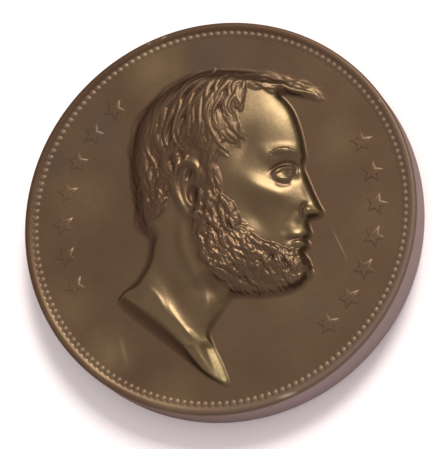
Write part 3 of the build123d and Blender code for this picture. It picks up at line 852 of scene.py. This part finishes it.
def edge_loops(cell, number, places):
    """The edge of the squares, followed square by square, as loops of places in the field's plane."""
    following = {}
    full = np.pad(cell, 1)
    for i, j in zip(*np.nonzero(cell)):
        for (a, b), (c, d), (e, f) in (((0, 0), (1, 0), (0, -1)), ((1, 0), (1, 1), (1, 0)),
                                       ((1, 1), (0, 1), (0, 1)), ((0, 1), (0, 0), (-1, 0))):
            if not full[i + 1 + e, j + 1 + f]:
                following.setdefault(number[i + a, j + b], []).append(number[i + c, j + d])
    loops = []
    while following:
        start = next(iter(following))
        loop = [start]
        while True:
            ahead = following[loop[-1]].pop()
            if not following[loop[-1]]:
                del following[loop[-1]]
            if ahead == start:
                break
            loop.append(ahead)
        loops.append(places[loop][:, :2])
    return loops


def add_portrait(surface):
    """The bust on a fine square grid with a flat margin; returns the loops of that margin's edge."""
    step = fine_step / head_height
    margin = flat_margin / head_height
    low_u, low_v = HEAD_OUTLINE.min(axis=0) - 2 * margin
    high_u, high_v = HEAD_OUTLINE.max(axis=0) + 2 * margin
    u, v = np.meshgrid(np.arange(low_u, high_u, step), np.arange(low_v, high_v, step), indexing="ij")
    form = relief(u, v)
    height, depth, reach = portrait_height(form)
    finish = portrait_finish(u, v, form, height, depth)
    cell = any_corner(np.maximum(depth, blurred(reach, depth_blur)) > -margin)
    used = any_corner(np.pad(cell, 1))
    number = -np.ones(u.shape, int)
    number[used] = np.arange(used.sum())
    places = np.column_stack([*on_medal(u[used], v[used]), obverse_field + height[used]])
    finish = {title: values[used] for title, values in finish.items()}
    surface.add(places, square_faces(cell, number, height), **finish)
    return edge_loops(cell, number, places)


def turns_of(count):
    return 2 * math.pi * np.arange(count) / count


def star_outlines():
    """The corners of every star, in the field's plane."""
    reach = star_radius * np.where(np.arange(star_corners) % 2, star_waist, 1)
    outlines = []
    for middle in (180 - star_arc_middle, star_arc_middle):
        for k in range(star_count):
            place = math.radians(middle - star_arc / 2 + star_arc * k / (star_count - 1))
            turns = place + turns_of(star_corners)
            outlines.append(np.column_stack([star_ring * math.cos(place) + reach * np.cos(turns),
                                             star_ring * math.sin(place) + reach * np.sin(turns)]))
    return outlines


def ring_places(reach, height, count):
    turns = turns_of(count)
    return np.column_stack([reach * np.cos(turns), reach * np.sin(turns), np.broadcast_to(height, count)])


def add_rings(surface, rings, **finish):
    """Joins rings of places; neighbours have as many as each other, or one has a third as many."""
    starts = np.cumsum([0] + [len(ring) for ring in rings])
    faces = []
    for k in range(len(rings) - 1):
        a, b = starts[k], starts[k + 1]
        count, after = len(rings[k]), len(rings[k + 1])
        if count == after:
            faces += [(a + i, a + (i + 1) % count, b + (i + 1) % count, b + i) for i in range(count)]
            continue
        fine_start, coarse_start, thirds = (a, b, after) if count > after else (b, a, count)
        for i in range(thirds):
            fine = [fine_start + (3 * i + s) % (3 * thirds) for s in range(4)]
            here, ahead = coarse_start + i, coarse_start + (i + 1) % thirds
            faces += [(*fine[:2], here), (*fine[1:3], here), (fine[2], ahead, here), (*fine[2:], ahead)]
    for title, values in finish.items():
        finish[title] = np.concatenate([np.broadcast_to(*pair) for pair in zip(values, map(len, rings))])
    surface.add(np.concatenate(rings), faces, **finish)


def add_fan(surface, ring, middle):
    """Closes a ring of places with triangles round its middle."""
    count = len(ring)
    surface.add(np.vstack([ring, middle]), [(i, (i + 1) % count, count) for i in range(count)])


def add_star(surface, outline):
    """A raised star with rounded edges, in a flat margin of its own; returns that margin's edge."""
    middle = outline.mean(axis=0)
    rings = []
    for size, rise, pale in STAR_ROWS:
        height = np.full(len(outline), obverse_field + star_rise * rise)
        rings.append(np.column_stack([middle + (outline - middle) * size, height]))
    add_rings(surface, rings, pale=[pale for size, rise, pale in STAR_ROWS])
    add_fan(surface, rings[-1], (*middle, obverse_field + star_rise))
    return rings[0][:, :2]


def bead_rings(field, up, depth):
    """The ring of beads as rows of places from the field out to the rim's lip, with wear and a painted sheen.
    """
    turns = turns_of(ring_count)
    across = bead_ring * ((turns * bead_count / (2 * math.pi) + 0.5) % 1 - 0.5) * 2 * math.pi / bead_count
    rings = []
    wear = []
    pale = []
    for offset in bead_rows:
        share = np.clip(1 - (offset**2 + across**2) / bead_reach**2, 0, 1)
        reach = bead_ring + offset
        rise = np.maximum(bead_rise * share, lip(reach, depth) + bead_over_lip * bead_rise * share)
        rings.append(ring_places(reach, field + up * rise, ring_count))
        wear.append(bead_wear * share)
        # Painted sheen on the beads' tops
        pale.append(bead_sheen * share)
    return rings, wear, pale


def lip(reach, depth):
    """The rise from the field to the rim's top."""
    return depth * beyond(reach, lip_start, lip_width)


def rim_face(depth):
    """Half of the rim's section, from the beads out to the wall: reach, drop from the top, painted sheen."""
    reaches = np.linspace(bead_ring + bead_rows[-1] + lip_gap, lip_start + lip_width, lip_rows)
    rows = [(reach, depth - lip(reach, depth), lip_sheen) for reach in reaches]
    for share in np.linspace(0, 1, rim_round_rows):
        angle = math.radians(90 - 90 * share)
        reach = radius - rim_round + rim_round * math.cos(angle)
        rows.append((reach, rim_round - rim_round * math.sin(angle), lip_sheen + (1 - lip_sheen) * share**3))
    return rows


def rim_profile():
    """The rim's section from the obverse field round to the reverse field: reach, height, painted sheen."""
    upper = rim_face(rim_thickness - obverse_field)
    top = [(reach, rim_thickness - drop, pale) for reach, drop, pale in upper]
    return top + [(radius, rim_thickness / 2, 1.0)] + rim_face(reverse_field)[::-1]


def add_rim(surface):
    """Both bead rings and the rim between them, with a third as many places round the rim."""
    rings, wear, pale = bead_rings(obverse_field, 1, rim_thickness - obverse_field)
    soil = [0.0] * len(rings)
    turns = turns_of(rim_count)
    # Painted reflection of the pale floor on the rim and wall, strongest at the right
    rim_reflection = (0.5 + 0.5 * np.cos(turns + math.radians(reflection_turn))) ** reflection_power
    rim_reflection = reflection_least + reflection_gain * rim_reflection
    # Painted shade on the rim, strongest at the upper left
    rim_shade = rim_painted_shade * ease(0.5 - 0.5 * np.cos(turns + math.radians(rim_shade_turn)))
    for reach, height, value in rim_profile():
        rings.append(ring_places(reach, height, rim_count))
        wear.append(rim_wear)
        pale.append(value * rim_reflection)
        soil.append(rim_shade)
    reverse, reverse_wear, reverse_sheen = bead_rings(reverse_field, -1, reverse_field)
    add_rings(surface, rings + reverse[::-1], wear=wear + reverse_wear[::-1],
              soil=soil + [0.0] * len(reverse), pale=pale + reverse_sheen[::-1])


def add_field(surface, loops):
    """The flat field between the beads and the loops, which are the margins of the portrait and stars."""
    field_radius = bead_ring + bead_rows[0]
    places = []
    edges = []
    for loop in [ring_places(field_radius, 0, ring_count)[:, :2]] + loops:
        start = len(places)
        places += [Vector(place) for place in loop]
        edges += [(start + k, start + (k + 1) % len(loop)) for k in range(len(loop))]
    made, made_edges, faces, *origins = delaunay_2d_cdt(places, edges, [], 0, 1e-6)
    flat = np.array(made)
    middles = np.array([flat[list(face)].mean(axis=0) for face in faces])
    x, y = middles[:, 0], middles[:, 1]
    keep = np.hypot(x, y) < field_radius
    for loop in loops:
        box = near(x, y, loop, 0)
        keep[box] &= ~is_inside(x[box], y[box], loop)
    faces = [face for face, wanted in zip(faces, keep) if wanted]
    surface.add(np.column_stack([flat, np.full(len(flat), obverse_field)]), faces)


def add_reverse(surface):
    edge = ring_places(bead_ring + bead_rows[0], reverse_field, ring_count)
    add_fan(surface, edge, (0, 0, reverse_field))


def make_medal():
    surface = Surface()
    loops = add_portrait(surface)
    loops += [add_star(surface, outline) for outline in star_outlines()]
    add_field(surface, loops)
    add_rim(surface)
    add_reverse(surface)
    return surface.object("medal_bronze")


# Materials
TONES = {
    "brown": (0.093, 0.056, 0.033, 1),
    "lighter": (0.107, 0.072, 0.042, 1),
    "olive": (0.155, 0.108, 0.057, 1),
    "grey": (0.079, 0.058, 0.045, 1),
    "speck": (0.085, 0.050, 0.031, 1),
    # A pale pink tone for painted sheen and painted reflection
    "pale": (0.325, 0.260, 0.257, 1),
    # Rubbed olive gold of worn high places, also used for a painted highlight
    "rubbed_and_highlight": (0.145, 0.113, 0.056, 1),
    # Dark red-brown of patina in hollows and hair, also used for painted shade
    "soiled_and_shaded": (0.054, 0.026, 0.015, 1),
    "scratched": (0.34, 0.27, 0.19, 1),
}
# Size of the patina's clouds, and how much soil with its painted shade, and the painted sheen, add to its
# roughness
cloud_range = (0.3, 0.7)
speck_range = (0.52, 0.72)
speck_strength = 0.22
sheen_fade = 2.0
roughness_range = (0.28, 0.36)
soil_and_shade_roughness = 0.22
sheen_roughness = 0.38
# Depths, in millimetres, of the surface's slow waves and of its grain, and of the scratches
wave_depth = 0.06
grain_depth = 0.04
scratch_reach = 1.5


def node_tree(material):
    material.use_nodes = True
    material.node_tree.nodes.clear()
    return material.node_tree


def add_node(tree, kind, inputs, **settings):
    """A shader node with its own settings. Each input is linked to a socket, or given a value."""
    node = tree.nodes.new("ShaderNode" + kind)
    for name, value in settings.items():
        setattr(node, name, value)
    for place, value in inputs.items():
        if isinstance(value, bpy.types.NodeSocket):
            tree.links.new(value, node.inputs[place])
        else:
            node.inputs[place].default_value = value
    return node


def mixed(tree, share, first, second):
    return add_node(tree, "Mix", {0: share, 6: first, 7: second}, data_type="RGBA").outputs[2]


def ranged(tree, value, from_range, to_range=(0.0, 1.0)):
    return add_node(tree, "MapRange", dict(enumerate((value, *from_range, *to_range)))).outputs[0]


def worked(tree, operation, *values):
    """The outcome of a Math node; each value is a socket or a number."""
    return add_node(tree, "Math", dict(enumerate(values)), operation=operation).outputs[0]


def vector_worked(tree, operation, outcome, *values):
    """An outcome of a Vector Math node; each value is a socket or a vector."""
    return add_node(tree, "VectorMath", dict(enumerate(values)), operation=operation).outputs[outcome]


def noise(tree, place, scale, detail, roughness, outcome="Fac"):
    inputs = {"Vector": place, "Scale": scale, "Detail": detail, "Roughness": roughness}
    return add_node(tree, "TexNoise", inputs).outputs[outcome]


def bump(tree, height, strength, depth, **below):
    inputs = {"Height": height, "Strength": strength, "Distance": depth * MM, **below}
    return add_node(tree, "Bump", inputs).outputs["Normal"]


def strongest(tree, shares):
    return reduce(lambda first, second: worked(tree, "MAXIMUM", first, second), shares)


def cloud_of(tree, place, tone):
    """The clouds of one tone, tarnish and for the olive ones also a painted sheen: soft round clouds whose
    edges are broken up by noise.
    """
    shares = []
    for kind, x, y, reach, strength in TARNISH_AND_SHEEN:
        if kind == tone:
            gap = vector_worked(tree, "DISTANCE", "Value", place, (x * MM, y * MM, obverse_field * MM))
            shares.append(ranged(tree, gap, (reach * MM, 0.0), (0.0, strength)))
    return strongest(tree, shares)


def scratches_of(tree, place):
    """Thin bright strokes on the obverse, each from its distance to a straight run."""
    shares = []
    for x1, y1, x2, y2, width, strength in SCRATCHES:
        run = math.hypot(x2 - x1, y2 - y1)
        mapped = add_node(tree, "Mapping", {
            "Vector": place,
            "Location": ((x1 + x2) / 2 * MM, (y1 + y2) / 2 * MM, obverse_field * MM),
            "Rotation": (0, 0, math.atan2(y2 - y1, x2 - x1)),
            "Scale": (run / 2 * MM, width * MM, scratch_reach * MM),
        }, vector_type="TEXTURE")
        length = vector_worked(tree, "LENGTH", "Value", mapped.outputs["Vector"])
        shares.append(ranged(tree, length, (1.0, 0.2), (0.0, strength)))
    return strongest(tree, shares)


def finished(tree, inputs):
    """Ends a material in one shader with these inputs."""
    shader = add_node(tree, "BsdfPrincipled", inputs)
    add_node(tree, "OutputMaterial", {"Surface": shader.outputs["BSDF"]})


def bronze():
    """Brown patina, darker and redder in the hollows and hair, rubbed to olive gold on bare skin; its tones
    also paint shade, highlights, light and a pale sheen where the finish values ask.
    """
    material = bpy.data.materials.new("bronze_patina")
    tree = node_tree(material)
    place = add_node(tree, "TexCoord", {}).outputs["Object"]
    wear, soil, pale = (add_node(tree, "Attribute", {}, attribute_name=name).outputs["Fac"]
                        for name in ("wear", "soil", "pale"))
    cloud = noise(tree, place, 90.0, 4.0, 0.6)
    mottle = noise(tree, place, 700.0, 3.0, 0.55)
    grain = noise(tree, place, 2600.0, 2.0, 0.6)
    wobble = noise(tree, place, 260.0, 3.0, 0.6, "Color")
    wobble_size = (cloud_wobble * MM, cloud_wobble * MM, 0)
    broken = vector_worked(tree, "MULTIPLY_ADD", "Vector", wobble, wobble_size, place)
    tone = mixed(tree, ranged(tree, cloud, cloud_range), TONES["brown"], TONES["lighter"])
    for name in ("olive", "grey"):
        tone = mixed(tree, cloud_of(tree, broken, name), tone, TONES[name])
    tone = mixed(tree, ranged(tree, mottle, speck_range, (0.0, speck_strength)), tone, TONES["speck"])
    # Painted sheen and reflection in the pale tone, then wear with a painted highlight, then soil with
    # painted shade
    tone = mixed(tree, worked(tree, "POWER", pale, sheen_fade), tone, TONES["pale"])
    tone = mixed(tree, wear, tone, TONES["rubbed_and_highlight"])
    tone = mixed(tree, soil, tone, TONES["soiled_and_shaded"])
    tone = mixed(tree, scratches_of(tree, place), tone, TONES["scratched"])
    rough = ranged(tree, cloud, cloud_range, roughness_range)
    rough = worked(tree, "MULTIPLY_ADD", soil, soil_and_shade_roughness, rough)
    rough = worked(tree, "MULTIPLY_ADD", pale, sheen_roughness, rough)
    waves = bump(tree, mottle, 0.35, wave_depth)
    normal = bump(tree, grain, 0.12, grain_depth, Normal=waves)
    finished(tree, {"Base Color": tone, "Metallic": 0.8, "Roughness": rough,
                    "Specular Tint": (0.55, 0.42, 0.40, 1), "Normal": normal})
    return material


def paper():
    """The plain pale surface that the medal lies on."""
    material = bpy.data.materials.new("pale_floor")
    finished(node_tree(material), {"Base Color": (0.92, 0.89, 0.925, 1), "Roughness": 0.75})
    return material


# Camera, fitted to the photograph: two turns of the medal, its shift and the distance, in mm
view_turn_x = -0.2522
view_turn_y = -0.2565
view_shift = (0.8641, -0.1800)
view_distance = 400.0
view_lens = 257.3
sensor_width = 36.0
image_turn = math.radians(-bust_lean)
# The picture's right, its up and the way to the camera, in the medal's frame
FROM_PICTURE = (Matrix.Rotation(view_turn_x, 3, "X") @ Matrix.Rotation(view_turn_y, 3, "Y")
                @ Matrix.Rotation(image_turn, 3, "Z")).transposed()
# Half the floor's side, in metres
floor_reach = 1.5


def add_camera():
    place = FROM_PICTURE @ (Vector((0, 0, view_distance)) - Vector((*view_shift, 0)))
    data = bpy.data.cameras.new("camera")
    data.lens = view_lens
    data.sensor_width = sensor_width
    data.sensor_fit = "AUTO"
    data.clip_start = 0.01
    camera = placed("camera", data)
    camera.matrix_world = Matrix.Translation(place * MM) @ FROM_PICTURE.to_4x4()
    bpy.context.scene.camera = camera


def add_light(name, direction, distance, size, power, colour):
    """A square light at a direction given in the picture's frame; its size and distance are in metres."""
    away = (FROM_PICTURE @ Vector(direction)).normalized()
    data = bpy.data.lights.new(name, "AREA")
    data.size = size
    data.energy = power
    data.color = colour
    light = placed(name, data)
    turned = away.to_track_quat("Z", "Y").to_matrix().to_4x4()
    light.matrix_world = Matrix.Translation(away * distance) @ turned


def add_world(strength, colour):
    world = bpy.data.worlds.new("studio")
    world.use_nodes = True
    background = world.node_tree.nodes["Background"]
    background.inputs["Color"].default_value = (*colour, 1)
    background.inputs["Strength"].default_value = strength
    bpy.context.scene.world = world


def add_floor():
    mesh = bpy.data.meshes.new("floor")
    corners = [(x * floor_reach, y * floor_reach, 0) for x, y in ((-1, -1), (1, -1), (1, 1), (-1, 1))]
    mesh.from_pydata(corners, [], [(0, 1, 2, 3)])
    mesh.materials.append(paper())
    floor = placed("floor", mesh)


bpy.context.scene.view_settings.view_transform = "Standard"
add_camera()
add_floor()
add_world(strength=0.76, colour=(1.0, 0.89, 0.88))
add_light("key", (0.0, 0.78, 0.62), distance=0.6, size=0.18, power=2.9, colour=(1.0, 0.97, 0.88))
add_light("fill", (-0.56, 0.37, 0.74), distance=0.7, size=0.45, power=0.16, colour=(1.0, 0.97, 0.92))

medal = make_medal()
medal.data.materials.append(bronze())
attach(medal, "root")
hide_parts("medal")
